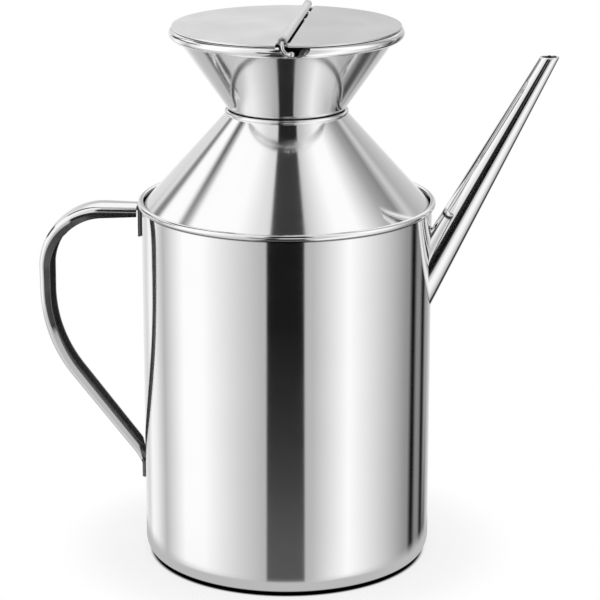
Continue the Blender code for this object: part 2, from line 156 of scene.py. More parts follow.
# Spout
SPOUT_BASE_HEIGHT = 0.1048
SPOUT_LEAN = 28.0
SPOUT_BASE_RADIUS = 0.0064
SPOUT_TIP_RADIUS = 0.0029
SPOUT_LIP_ROUNDING = 0.00015
SPOUT_LIP_CORNER = (0.3 * SPOUT_LIP_ROUNDING, 0.7 * SPOUT_LIP_ROUNDING)
SPOUT_STEPS = 96
SPOUT_RINGS = 30

# Handle strip
HANDLE_SHEET = 0.0009
HANDLE_TAB_DEPTH = 0.0012
HANDLE_TOP_DEPTH = 0.0038
HANDLE_SHOULDER_DEPTH = 0.0052
HANDLE_GRIP_DEPTH = 0.0042
HANDLE_FOOT_DEPTH = 0.0035
HANDLE_TOP_CORNER = 0.0024
HANDLE_GRIP_CORNER = 0.0018
HANDLE_CROWN = 0.0003
HANDLE_LIP = 0.15 * HANDLE_SHEET
HANDLE_WALL_WIDTH = 0.0109
HANDLE_SHOULDER_WIDTH = 0.0136
HANDLE_GRIP_WIDTH = 0.0094
HANDLE_FOOT_WIDTH = 0.0086
HANDLE_TOP_BEND = 0.0014
HANDLE_SHOULDER_BEND = 0.0229
HANDLE_GRIP_BEND = 0.0500
HANDLE_FOOT_BEND = 0.0020
HANDLE_GRIP_LENGTH = 0.0089
HANDLE_LEAN = 38.5
FLANGE_SETBACK = 0.0001
FLANGE_RUN_OUT = 0.0050
TOP_TAB_LENGTH = 0.0092
FOOT_TAB_LENGTH = 0.0048
SHOULDER_TOE_IN = 7.0
GRIP_TOE_IN = 5.0
DIAGONAL_TOE_IN = -2.8
# How far along the shoulder the strip is widest, and along the grip's bend narrowest
WIDEST_SHARE = 0.35
NARROWEST_SHARE = 0.4
# The most that corners and crown take of the strip's depth
OUTER_CORNER_LIMIT = 0.95
INNER_CORNER_LIMIT = 0.85
CROWN_LIMIT = 0.2
# Fineness of the section: points round its corners, down a flange, and at shares of the web's half width
OUTER_CORNER_STEPS = 14
CHANNEL_CORNER_STEPS = 10
FLANGE_STEPS = 4
OUTER_WEB_SHARES = (0.85, 0.7, 0.5, 0.25)
INNER_WEB_SHARES = (0.96, 0.5)

# Camera
CAMERA_AZIMUTH = 7.0
CAMERA_DISTANCE = 0.8607
CAMERA_HEIGHT = 0.3408
CAMERA_PITCH = 16.249
CAMERA_YAW = 0.304
CAMERA_ROLL = 0.040
CAMERA_LENS = 154.56
SENSOR_WIDTH = 36.0
CLIP_START = 0.01

# Studio: how bright the panels of the light tent are, where 1 is white, by angle from the camera's side.
# Upright metal mirrors the low panels, sloping metal the high ones, and metal facing down the floor ones.
LOW_PANELS = [
    (-180, 1.00), (-150, 0.70), (-140, 1.00), (-130, 0.90), (-115, 0.50), (-90, 1.05),
    (-70, 1.05), (-40, 0.70), (-20, 0.50), (20, 0.50), (50, 1.05), (110, 0.30),
    (130, 0.25), (150, 0.35), (170, 0.85), (180, 1.00),
]
HIGH_PANELS = [
    (-180, 0.45), (-160, 0.75), (-145, 0.75), (-130, 1.05), (-65, 1.05), (-40, 0.80),
    (-20, 0.75), (30, 0.60), (65, 1.05), (85, 1.05), (110, 0.40), (122, 0.25),
    (130, 0.65), (137, 0.45), (165, 0.70), (180, 0.45),
]
FLOOR_PANELS = [
    (-180, 0.60), (-165, 0.70), (-145, 0.55), (-115, 0.60), (-60, 0.70), (-20, 0.50),
    (20, 0.60), (35, 1.00), (60, 1.00), (90, 0.70), (110, 0.45), (130, 0.30),
    (150, 0.60), (180, 0.60),
]
# Dark gaps between panels: where, how far the full dark and its soft edge reach to each side, and how dark
LOW_SEAMS = [(120.4, 1.0, 7.5, 0.99), (139.0, 1.0, 7.5, 0.96)]
HIGH_SEAMS = [(-137.5, 1.0, 6.5, 0.75), (-110.0, 1.0, 6.0, 0.55)]
FLOOR_SEAMS = [(-129.5, 1.5, 8.0, 0.90), (134.0, 2.0, 10.0, 0.80)]
# Where the low panels give way to the high ones, by the height of a direction, -1 to 1, and where both give
# way to the floor ones, by its depth
HIGH_PANEL_LIMITS = (-0.15, 0.15)
FLOOR_PANEL_LIMITS = (0.36, 0.46)
# The dark slit that the camera looks through: its brightness and its reach to each side, by height, how
# soft its edges are, and how far forward a direction points where the slit ends and where it is whole
SLIT_LIGHTS = [
    (-1.00, 0.03), (-0.58, 0.02), (-0.48, 0.06), (-0.375, 0.105), (-0.34, 0.036), (-0.31, 0.014),
    (-0.28, 0.002), (-0.14, 0.002), (-0.10, 0.85), (0.26, 0.85), (0.32, 0.005), (0.70, 0.004),
    (1.00, 0.05),
]
SLIT_LEFT_REACH = [
    (-1.00, 0.262), (0.00, 0.262), (0.12, 0.160), (0.50, 0.250), (0.78, 0.250), (0.86, 0.152),
    (1.00, 0.152),
]
SLIT_RIGHT_REACH = [
    (-1.00, 0.226), (0.00, 0.226), (0.12, 0.160), (0.50, 0.300), (0.78, 0.300), (0.86, 0.170),
    (1.00, 0.170),
]
SLIT_SOFTNESS = 0.012
SLIT_BACK_LIMITS = (0.00, 0.22)
# White ceiling behind the can: the heights and the angles from the camera's side where it begins
CEILING_WHITE = 1.00
CEILING_HEIGHTS = (0.26, 0.38)
CEILING_ANGLES = (140.0, 156.0)
# Dark flags: from and to which angle, from and to which height, and how dark. The first stands high at the
# back left, and the second beside the slit, where the spout mirrors it.
FLAGS = [(-149, -111, 0.60, 1.20, 0.90), (-29, -6, -0.20, 0.22, 0.98)]
FLAG_ANGLE_SOFTNESS = 3.0
FLAG_HEIGHT_SOFTNESS = 0.04
# Dark rods that lie where the edges of the slanted spout mirror them: how far their dark and its soft edge
# reach, then the angles where each rod starts, is full, leaves full and ends, and how dark it is
ROD_REACH = (0.07, 0.13)
RODS = [(-152, -142, -100, -88, 0.92), (112, 124, 146, 154, 0.85)]
STOPS_PER_RAMP = 12

# Floor: near the can it is part paint, which takes the shadow, and part glow. Past the fade it only glows.
FLOOR_HALF_SIZE = 2.0
FLOOR_SEGMENTS = 8
FLOOR_DROP = 0.00005
FLOOR_WHITE = 0.38
FLOOR_GLOW = 0.60
FLOOR_FADE_RADII = (0.060, 0.085)
# Painted contact shadow: a dark line on the floor where the can stands, moved a little towards the camera
CONTACT_SHADE_RADII = (0.0474, 0.0490)
CONTACT_SHADE_FORWARD = 0.0021
# What metal meets of the floor: painted shade under the can, a painted pale glow beside it, and nothing
# past the last radii
MIRRORED_SHADE_RADII = (0.0475, 0.0487)
MIRRORED_FLOOR_WHITE = 0.52
MIRRORED_FLOOR_RADII = (0.056, 0.066)

# Finishes: how close the polishing lines lie along x, y and z, then each finish's brightness and roughness,
# its lines and their depth, and the depth of the sheet's waviness
TURNED_LINES = (60.0, 60.0, 2500.0)
DRAWN_LINES = (900.0, 900.0, 200.0)
BRUSHED_LINES = (2500.0, 400.0, 2500.0)
WIRE_LINES = (2500.0, 60.0, 2500.0)
FINISHES = {
    "polished_body": (0.93, 0.08, TURNED_LINES, 1.0e-8, 8.0e-6),
    "polished_shoulder": (0.93, 0.09, TURNED_LINES, 1.0e-8, 1.0e-5),
    "polished_funnel": (0.86, 0.10, TURNED_LINES, 1.0e-8, 1.0e-5),
    "polished_spout": (0.93, 0.07, DRAWN_LINES, 1.0e-8, 5.0e-6),
    "polished_handle": (0.92, 0.09, DRAWN_LINES, 1.0e-8, 5.0e-6),
    # Dark steel that paints the shade inside the spout's bore, in the handle's channel and round its tabs
    "painted_shade_steel": (0.16, 0.42, DRAWN_LINES, 3.0e-8, 5.0e-6),
    "satin_fixed_half": (0.78, 0.34, BRUSHED_LINES, 3.0e-7, 5.0e-6),
    "satin_flap": (0.93, 0.34, BRUSHED_LINES, 3.0e-7, 5.0e-6),
    "polished_pin": (0.85, 0.14, WIRE_LINES, 1.0e-8, 1.0e-6),
}
# Painted shade in the seams round the can, and a painted highlight along the funnel's rim where the
# darkness is negative: height, reach and darkness
PAINTED_SEAM_SHADE_AND_RIM_SHEEN = {
    "polished_body": (BEAD_HEIGHT - BEAD_RADIUS, 0.0006, 0.85),
    "polished_shoulder": (BEAD_HEIGHT - SHOULDER_EDGE_DROP, 0.0008, 0.80),
    "polished_funnel": (RIM_TOP - 0.9 * RIM_ROLL_RADIUS, 1.35 * RIM_ROLL_RADIUS, -0.13),
}
PAINTED_BAND_CORE = 0.3
LINE_DETAIL = 3.0
CLOUD_SCALE = 55.0
CLOUD_DETAIL = 2.0
CLOUD_TONE = 0.04
WAVE_SCALE = 38.0
WAVE_STRETCH = (1.0, 1.0, 0.5)
WAVE_DETAIL = 1.0


# Node helpers
def feed(tree, socket, value):
    """Gives a socket a number or another node's output."""
    if isinstance(value, (int, float)):
        socket.default_value = value
    else:
        tree.links.new(value, socket)


def value_node(tree, operation, *inputs):
    """A Math node."""
    node = tree.nodes.new("ShaderNodeMath")
    node.operation = operation
    for socket, value in zip(node.inputs, inputs):
        feed(tree, socket, value)
    return node.outputs[0]


def smooth_step(tree, value, low, high):
    """Runs smoothly from 0 at low to 1 at high."""
    node = tree.nodes.new("ShaderNodeMapRange")
    node.interpolation_type = "SMOOTHSTEP"
    for name, amount in (("Value", value), ("From Min", low), ("From Max", high)):
        feed(tree, node.inputs[name], amount)
    return node.outputs["Result"]


def span(tree, value, start, full, full_end, end):
    """Rises smoothly from 0 at start to 1 at full, and falls from 1 at full_end to 0 at end."""
    return value_node(
        tree,
        "SUBTRACT",
        smooth_step(tree, value, start, full),
        smooth_step(tree, value, full_end, end),
    )


def soft_span(tree, value, low, high, softness):
    """Near 1 between low and high and 0 beyond. Each edge fades over the softness to both its sides."""
    return span(tree, value, low - softness, low + softness, high - softness, high + softness)


def blend_values(tree, share, first, second):
    """The first value where share is 0 and the second where it is 1."""
    node = tree.nodes.new("ShaderNodeMix")
    node.data_type = "FLOAT"
    for socket, value in zip(node.inputs[0:1] + node.inputs[2:4], (share, first, second)):
        feed(tree, socket, value)
    return node.outputs[0]


def value_ramp(tree, value, stops):
    """The value read from (position, value) stops. Ramps that meet at a stop share a long list."""
    total = None
    for first in range(0, len(stops) - 1, STOPS_PER_RAMP - 1):
        run = stops[first:first + STOPS_PER_RAMP]
        low, high = run[0][0], run[-1][0]
        ramp = tree.nodes.new("ShaderNodeValToRGB")
        elements = ramp.color_ramp.elements
        elements.remove(elements[-1])
        for index, (position, level) in enumerate(run):
            place = (position - low) / (high - low)
            element = elements[0] if index == 0 else elements.new(place)
            element.position = place
            element.color = (level, level, level, 1.0)
        share = tree.nodes.new("ShaderNodeMapRange")
        share.inputs["From Min"].default_value = low
        share.inputs["From Max"].default_value = high
        tree.links.new(value, share.inputs["Value"])
        tree.links.new(share.outputs["Result"], ramp.inputs["Fac"])
        level = ramp.outputs["Color"]
        if total is None:
            total = level
        else:
            rise = value_node(tree, "SUBTRACT", level, run[0][1])
            total = value_node(tree, "ADD", total, rise)
    return total


def dimmed_by_seams(tree, value, brightness, seams):
    """The brightness, dimmed where the value is near a (place, inner reach, outer reach, darkness) seam."""
    for place, inner, outer, darkness in seams:
        away = value_node(tree, "ABSOLUTE", value_node(tree, "SUBTRACT", value, place))
        kept = blend_values(tree, smooth_step(tree, away, inner, outer), 1.0 - darkness, 1.0)
        brightness = value_node(tree, "MULTIPLY", brightness, kept)
    return brightness


def link_grey(tree, value, socket):
    """Gives a colour socket the grey of a value."""
    colour = tree.nodes.new("ShaderNodeCombineColor")
    for channel in colour.inputs:
        tree.links.new(value, channel)
    tree.links.new(colour.outputs["Color"], socket)


def direction_share(tree, direction, axis):
    """How far a direction points along an axis, from -1 to 1."""
    node = tree.nodes.new("ShaderNodeVectorMath")
    node.operation = "DOT_PRODUCT"
    tree.links.new(direction, node.inputs[0])
    node.inputs[1].default_value = axis
    return node.outputs["Value"]


def stretched_noise(tree, scale, stretch, detail):
    """Noise over the object's own metres. Its grains are drawn out along axes where stretch is small."""
    place = tree.nodes.new("ShaderNodeTexCoord")
    mapping = tree.nodes.new("ShaderNodeMapping")
    mapping.inputs["Scale"].default_value = stretch
    noise = tree.nodes.new("ShaderNodeTexNoise")
    noise.inputs["Scale"].default_value = scale
    noise.inputs["Detail"].default_value = detail
    tree.links.new(place.outputs["Object"], mapping.inputs["Vector"])
    tree.links.new(mapping.outputs["Vector"], noise.inputs["Vector"])
    return noise.outputs["Fac"]


def bump_node(tree, depth):
    """A Bump node at full strength, for unevenness of a given depth."""
    node = tree.nodes.new("ShaderNodeBump")
    node.inputs["Strength"].default_value = 1.0
    node.inputs["Distance"].default_value = depth
    return node


# Finishes
def make_steel(name):
    """Stainless steel with polishing lines, faint clouding and a slight waviness, plus painted shade in the
    seams and a painted highlight on the funnel's rim where listed.
    """
    brightness, roughness, lines, line_depth, wave_depth = FINISHES[name]
    material = bpy.data.materials.new(name)
    material.use_nodes = True
    tree = material.node_tree
    shader = tree.nodes["Principled BSDF"]
    shader.inputs["Metallic"].default_value = 1.0
    fine = stretched_noise(tree, 1.0, lines, LINE_DETAIL)
    cloud = stretched_noise(tree, CLOUD_SCALE, (1.0, 1.0, 1.0), CLOUD_DETAIL)
    lift = value_node(tree, "MULTIPLY", cloud, CLOUD_TONE)
    tone = value_node(tree, "ADD", brightness - 0.5 * CLOUD_TONE, lift)
    # Painted shade darkens a band round a seam; for the funnel a negative darkness paints a highlight round
    # the rim
    if name in PAINTED_SEAM_SHADE_AND_RIM_SHEEN:
        height, reach, darkness = PAINTED_SEAM_SHADE_AND_RIM_SHEEN[name]
        split = tree.nodes.new("ShaderNodeSeparateXYZ")
        tree.links.new(tree.nodes.new("ShaderNodeTexCoord").outputs["Object"], split.inputs[0])
        painted_band = (height, PAINTED_BAND_CORE * reach, reach, darkness)
        tone = dimmed_by_seams(tree, split.outputs["Z"], tone, [painted_band])
    link_grey(tree, tone, shader.inputs["Base Color"])
    half = 0.5 * roughness
    streaks = value_node(tree, "MULTIPLY", fine, half)
    clouding = value_node(tree, "MULTIPLY", cloud, half)
    total = value_node(tree, "ADD", streaks, clouding)
    tree.links.new(value_node(tree, "ADD", total, half), shader.inputs["Roughness"])
    grain = bump_node(tree, line_depth)
    tree.links.new(fine, grain.inputs["Height"])
    wave = bump_node(tree, wave_depth)
    tree.links.new(stretched_noise(tree, WAVE_SCALE, WAVE_STRETCH, WAVE_DETAIL), wave.inputs["Height"])
    tree.links.new(grain.outputs["Normal"], wave.inputs["Normal"])
    tree.links.new(wave.outputs["Normal"], shader.inputs["Normal"])
    return material


# Mesh helpers
def add_piece(name, builder, material, body, node, location=(0.0, 0.0, 0.0)):
    """Turns a bmesh into a smooth piece that stands for a node of the frame and moves with its body."""
    piece = add_mesh(name, builder, location)
    piece.data.materials.append(material)
    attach(piece, body)
    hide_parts(node)
    return piece


def add_mesh(name, builder, location=(0.0, 0.0, 0.0)):
    """Turns a bmesh into an object in the scene."""
    bmesh.ops.recalc_face_normals(builder, faces=builder.faces)
    mesh = bpy.data.meshes.new(name)
    builder.to_mesh(mesh)
    builder.free()
    shade(mesh)
    shape = bpy.data.objects.new(name, mesh)
    shape.location = location
    bpy.context.scene.collection.objects.link(shape)
    return shape


def shade(mesh):
    """Smooth shading that keeps real edges crisp."""
    mesh.shade_smooth()
    mesh.set_sharp_from_angle(angle=math.radians(CRISP_ANGLE))


def apply_booleans(piece, helpers):
    """Combines a piece with helper solids, each given as (helper, operation), and drops the helpers."""
    for helper, operation in helpers:
        modifier = piece.modifiers.new(helper.name, "BOOLEAN")
        modifier.operation = operation
        modifier.solver = "EXACT"
        modifier.object = helper
    bpy.context.view_layer.update()
    graph = bpy.context.evaluated_depsgraph_get()
    finished = bpy.data.meshes.new_from_object(piece.evaluated_get(graph))
    piece.modifiers.clear()
    rough = piece.data
    piece.data = finished
    bpy.data.meshes.remove(rough)
    shade(finished)
    for helper, _ in helpers:
        bpy.data.objects.remove(helper, do_unlink=True)


def arc_points(centre, radius, start, end, steps):
    """Points on an arc in the profile plane, from one angle to the other."""
    points = []
    for step in range(steps + 1):
        angle = math.radians(start + (end - start) * step / steps)
        points.append((centre[0] + radius * math.cos(angle), centre[1] + radius * math.sin(angle)))
    return points


def supported(profile):
    """The profile with extra points on its long straights: one close to each end, and more in between."""
    dense = [profile[0]]
    for start, end in zip(profile, profile[1:]):
        length = math.dist(start, end)
        if length > LONG_STRAIGHT:
            inner = max(1, round(length / STRAIGHT_SPACING))
            first = CREASE_SUPPORT / length
            shares = [first + (1.0 - 2.0 * first) * step / inner for step in range(inner + 1)]
            for share in shares:
                across = start[0] + (end[0] - start[0]) * share
                dense.append((across, start[1] + (end[1] - start[1]) * share))
        dense.append(end)
    return dense


def turned(profile, closed=True):
    """A bmesh of a profile of (radius, height) points turned round the Z axis."""
    builder = bmesh.new()
    rows = []
    for radius, height in profile:
        count = 1 if radius < AXIS_TOLERANCE else TURNING_STEPS
        row = []
        for step in range(count):
            angle = 2.0 * math.pi * step / TURNING_STEPS
            row.append(builder.verts.new((radius * math.cos(angle), radius * math.sin(angle), height)))
        rows.append(row)
    pairs = list(zip(rows, rows[1:]))
    if closed:
        pairs.append((rows[-1], rows[0]))
    for low, high in pairs:
        for step in range(TURNING_STEPS):
            following = (step + 1) % TURNING_STEPS
            corners = [low[step % len(low)], low[following % len(low)]]
            corners += [high[following % len(high)], high[step % len(high)]]
            builder.faces.new(list(dict.fromkeys(corners)))
    return builder


def skinned(rings, closed=False, second_finish=None):
    """A bmesh that joins rings of points, with a cap on each end unless the rings close on themselves.

    A face gets the object's second material where second_finish(ring, place in the ring) is true.
    """
    builder = bmesh.new()
    rows = [[builder.verts.new(point) for point in ring] for ring in rings]
    pairs = list(zip(rows, rows[1:]))
    if closed:
        pairs.append((rows[-1], rows[0]))
    for row, (low, high) in enumerate(pairs):
        for index in range(len(low)):
            following = (index + 1) % len(low)
            face = builder.faces.new((low[index], low[following], high[following], high[index]))
            if second_finish and second_finish(row, index):
                face.material_index = 1
    if not closed:
        caps = [builder.faces.new(rows[0]), builder.faces.new(rows[-1])]
        bmesh.ops.triangulate(builder, faces=caps, ngon_method="EAR_CLIP")
    return builder


def prism_along_y(outline, low, high):
    """A bmesh of an outline of (x, z) points drawn out from one y to another."""
    return skinned([[(x, y, z) for x, z in outline] for y in (low, high)])


def helper_box(name, low, high, location):
    """A box between two corners, for cutting."""
    outline = [(low[0], low[2]), (high[0], low[2]), (high[0], high[2]), (low[0], high[2])]
    return add_mesh(name, prism_along_y(outline, low[1], high[1]), location)


# Body cup
def build_body(material):
    """The drawn wall and bottom with its rolled bead, open behind the spout."""
    inner_radius = BODY_RADIUS - SHEET
    corner = (BODY_RADIUS - BASE_CORNER_RADIUS, BASE_CORNER_RADIUS)
    bead = (BODY_RADIUS + BEAD_OVERHANG, BEAD_HEIGHT)
    inner_turn = math.degrees(math.acos((inner_radius - bead[0]) / BEAD_RADIUS))
    outer_turn = -math.degrees(math.acos((BODY_RADIUS - bead[0]) / BEAD_RADIUS))
    profile = [(0.0, 0.0)]
    for x, z in arc_points((0.0, 0.0), 1.0, -90.0, 0.0, BASE_CORNER_STEPS):
        profile.append((corner[0] + BASE_CORNER_RADIUS * x, BASE_CORNER_HEIGHT * (1.0 + z)))
    profile += arc_points(bead, BEAD_RADIUS, outer_turn, inner_turn, BEAD_STEPS)
    profile += arc_points(corner, BASE_CORNER_RADIUS - SHEET, 0.0, -90.0, INNER_CORNER_STEPS)
    profile.append((0.0, SHEET))
    builder = turned(supported(profile), closed=False)
    body = add_piece("body", builder, material, "can", "body_cup")
    outer_end = spout_ring_on_wall(SHEET, BODY_RADIUS + BORE_CUT_OUTWARD)
    inner_end = spout_ring_on_wall(SHEET, BODY_RADIUS - BORE_CUT_INWARD)
    bore = add_mesh("spout_bore", skinned([inner_end, outer_end]))
    apply_booleans(body, [(bore, "DIFFERENCE")])


# Shoulder cone
def build_shoulder(material):
    """The skirt inside the body's bead, the cone, and the rolled collar round the neck."""
    skirt_outer = BODY_RADIUS - SHEET - SEAM_GAP
    skirt_inner = skirt_outer - SHEET
    edge_height = BEAD_HEIGHT - SHOULDER_EDGE_DROP
    collar_inner = NECK_BORE_RADIUS + SHEET + SEAM_GAP
    bead = (collar_inner + COLLAR_BEAD_RADIUS, COLLAR_TOP - COLLAR_BEAD_RADIUS)
    collar_outer = (bead[0] + COLLAR_FOOT_OUT, bead[1] - COLLAR_BEAD_RADIUS)
    slope = Vector((skirt_outer - collar_outer[0], collar_outer[1] - edge_height)).normalized()
    inset = (slope.y * SHEET, slope.x * SHEET)
    inner_edge_height = edge_height + SHEET * (slope.y - 1.0) / slope.x
    run = collar_outer[0] - inset[0] - collar_inner
    collar_bottom = collar_outer[1] - inset[1] + run * slope.y / slope.x
    profile = [(skirt_inner, edge_height - SKIRT_LENGTH), (skirt_outer, edge_height - SKIRT_LENGTH)]
    profile.append((skirt_outer, edge_height))
    profile.append(collar_outer)
    profile += arc_points(bead, COLLAR_BEAD_RADIUS, COLLAR_CURL_START, 180.0, COLLAR_STEPS)
    profile.append((collar_inner, collar_bottom))
    profile.append((skirt_inner, inner_edge_height))
    profile.append(profile[0])
    builder = turned(supported(profile)[:-1])
    add_piece("shoulder", builder, material, "can", "shoulder_cone")


# Funnel mouth
def build_funnel(material):
    """The neck tube, the funnel and its rolled rim, notched for the hinge pin's tails."""
    roll = (RIM_RADIUS - RIM_ROLL_RADIUS, RIM_TOP + RIM_SEAT_RISE - RIM_ROLL_RADIUS)
    tube_outer = NECK_BORE_RADIUS + SHEET
    foot = (tube_outer + FUNNEL_FOOT_OUT * FUNNEL_FOOT_RISE, COLLAR_TOP + FUNNEL_FOOT_UP * FUNNEL_FOOT_RISE)
    brim = (roll[0] - BRIM_IN * RIM_ROLL_RADIUS, roll[1] - BRIM_DOWN * RIM_ROLL_RADIUS)
    slope = Vector((brim[0] - foot[0], brim[1] - foot[1])).normalized()
    inset = (slope.y * SHEET, slope.x * SHEET)
    profile = [(NECK_BORE_RADIUS, NECK_TUBE_BOTTOM), (tube_outer, NECK_TUBE_BOTTOM)]
    profile.append((tube_outer, foot[1] - FUNNEL_FOOT_RISE))
    profile += [foot, brim]
    profile += arc_points(roll, RIM_ROLL_RADIUS - SHEET, 180.0, RIM_CURL_END, RIM_INNER_STEPS)
    profile += arc_points(roll, RIM_ROLL_RADIUS, RIM_CURL_END, 180.0, RIM_OUTER_STEPS)
    profile.append((brim[0] - inset[0], brim[1] + inset[1]))
    profile.append((foot[0] - inset[0], foot[1] + inset[1]))
    profile.append((NECK_BORE_RADIUS, foot[1] - FUNNEL_FOOT_RISE + 0.5 * SHEET))
    profile.append(profile[0])
    builder = turned(supported(profile)[:-1])
    funnel = add_piece("funnel", builder, material, "can", "funnel_mouth")
    apply_booleans(funnel, [(rim_notch(side), "DIFFERENCE") for side in (-1.0, 1.0)])


def rim_notch(side):
    """The rounded cut through the rim's upper half at one end of the hinge."""
    outline = []
    for step in range(RIM_NOTCH_STEPS):
        angle = 2.0 * math.pi * step / RIM_NOTCH_STEPS
        across = HINGE_OFFSET + RIM_NOTCH_OFFSET + 0.5 * RIM_NOTCH_WIDTH * math.cos(angle)
        outline.append((across, RIM_TOP + RIM_NOTCH_DEPTH * math.sin(angle)))
    low, high = sorted((side * RIM_NOTCH_INNER, side * RIM_NOTCH_OUTER))
    return add_mesh("rim_notch", prism_along_y(outline, low, high))


# Spout
def spout_generator(angle, inset):
    """The line on the spout's surface at an angle round its axis, from the foot's to the tip's middle."""
    lean = math.radians(SPOUT_LEAN)
    direction = Vector((math.sin(lean), 0.0, math.cos(lean)))
    base = Vector((BODY_RADIUS, 0.0, SPOUT_BASE_HEIGHT))
    length = (SPOUT_TIP_HEIGHT - SPOUT_BASE_HEIGHT) / direction.z
    outward = Vector((direction.z * math.cos(angle), math.sin(angle), -direction.x * math.cos(angle)))
    start = base + outward * (SPOUT_BASE_RADIUS - inset)
    end = base + direction * length + outward * (SPOUT_TIP_RADIUS - inset)
    return start, end - start


def spout_ring_on_wall(inset, wall_radius):
    """Where the spout's surface meets an upright cylinder round the can's axis."""
    ring = []
    for step in range(SPOUT_STEPS):
        start, along = spout_generator(2.0 * math.pi * step / SPOUT_STEPS, inset)
        square = along.x**2 + along.y**2
        half = start.x * along.x + start.y * along.y
        rest = start.x**2 + start.y**2 - wall_radius**2
        ring.append(start + along * ((math.sqrt(half**2 - square * rest) - half) / square))
    return ring


def spout_ring_at_tip(inset, height):
    """Where the spout's surface meets a level plane."""
    ring = []
    for step in range(SPOUT_STEPS):
        start, along = spout_generator(2.0 * math.pi * step / SPOUT_STEPS, inset)
        ring.append(start + along * ((height - start.z) / along.z))
    return ring


def between_rings(low, high, count):
    """Rings spread evenly between two rings, without the two themselves."""
    rings = []
    for step in range(1, count + 1):
        share = step / (count + 1)
        rings.append([start.lerp(end, share) for start, end in zip(low, high)])
    return rings


def build_spout(outside, inside):
    """The tapered tube, fitted to the wall at its foot and cut level at its tip.

    Its lip is rounded, and its bore has the dark finish of painted shade.
    """
    below_lip = SPOUT_TIP_HEIGHT - SPOUT_LIP_ROUNDING
    outer_foot = spout_ring_on_wall(0.0, BODY_RADIUS)
    outer_support = spout_ring_at_tip(0.0, below_lip - CREASE_SUPPORT)
    outer_tip = spout_ring_at_tip(0.0, below_lip)
    inner_tip = spout_ring_at_tip(SHEET, below_lip)
    inner_support = spout_ring_at_tip(SHEET, below_lip - CREASE_SUPPORT)
    inner_foot = spout_ring_on_wall(SHEET, BODY_RADIUS)
    rings = [outer_foot, *between_rings(outer_foot, outer_support, SPOUT_RINGS), outer_support, outer_tip]
    lip = [SPOUT_LIP_CORNER, (SPOUT_LIP_ROUNDING, SPOUT_LIP_ROUNDING)]
    lip.append((SHEET - SPOUT_LIP_ROUNDING, SPOUT_LIP_ROUNDING))
    rings += [spout_ring_at_tip(inset, below_lip + rise) for inset, rise in lip]
    bore_start = len(rings)
    rings += [inner_tip, inner_support, *between_rings(inner_support, inner_foot, SPOUT_RINGS), inner_foot]
    builder = skinned(rings, closed=True, second_finish=lambda row, place: row >= bore_start)
    spout = add_piece("spout", builder, outside, "can", "pouring_spout")
    spout.data.materials.append(inside)


# Lid and hinge
def curled_sheet(side, reach):
    """A sheet's outline that runs in from one side and curls up round the pin, about the hinge axis."""
    outline = [(side * reach, -KNUCKLE_RADIUS)]
    curl_end = -90.0 + CURL_TURN
    for x, z in arc_points((0.0, 0.0), KNUCKLE_RADIUS, -90.0, curl_end, CURL_OUTER_STEPS):
        outline.append((-side * x, z))
    for x, z in arc_points((0.0, 0.0), KNUCKLE_RADIUS - SHEET, curl_end, -90.0, CURL_INNER_STEPS):
        outline.append((-side * x, z))
    outline.append((side * reach, SHEET - KNUCKLE_RADIUS))
    return outline


def lid_disc():
    """The disc that gives both halves their round edge."""
    tall = LID_DISC_HALF_HEIGHT
    edge = LID_RADIUS - LID_EDGE_TRIM
    builder = turned([(0.0, -tall), (edge, -tall), (edge, tall), (0.0, tall)], closed=False)
    bmesh.ops.translate(builder, verts=builder.verts, vec=(-HINGE_OFFSET, 0.0, 0.0))
    return add_mesh("lid_disc", builder, HINGE_PLACE)


def build_lid_half(name, side, body, node, material):
    """One half disc with its knuckles, with its origin on the hinge axis."""
    beyond = LID_RADIUS + 2.0 * HINGE_OFFSET
    builder = prism_along_y(curled_sheet(side, beyond), -beyond, beyond)
    half = add_piece(name, builder, material, body, node, HINGE_PLACE)
    helpers = [(lid_disc(), "INTERSECT")]
    edge = side * (KNUCKLE_RADIUS + LID_EDGE_GAP)
    tall = LID_CUT_REACH
    low_x, high_x = sorted((edge, -side * tall))
    middle = LID_RADIUS - KNUCKLE_END_MARGIN
    if side < 0.0:
        cuts = [(middle, beyond), (-beyond, -middle)]
    else:
        inner = middle + SEAM_GAP
        outer = inner + END_KNUCKLE_LENGTH
        cuts = [(-inner, inner), (outer, beyond), (-beyond, -outer)]
    for low_y, high_y in cuts:
        cutter = helper_box("lid_cut", (low_x, low_y, -tall), (high_x, high_y, tall), HINGE_PLACE)
        helpers.append((cutter, "DIFFERENCE"))
    apply_booleans(half, helpers)
    rounding = half.modifiers.new("edges", "BEVEL")
    rounding.width = LID_EDGE_ROUNDING
    rounding.segments = LID_EDGE_SEGMENTS
    rounding.limit_method = "ANGLE"
    rounding.angle_limit = math.radians(LID_EDGE_ANGLE)
    rounding.harden_normals = True


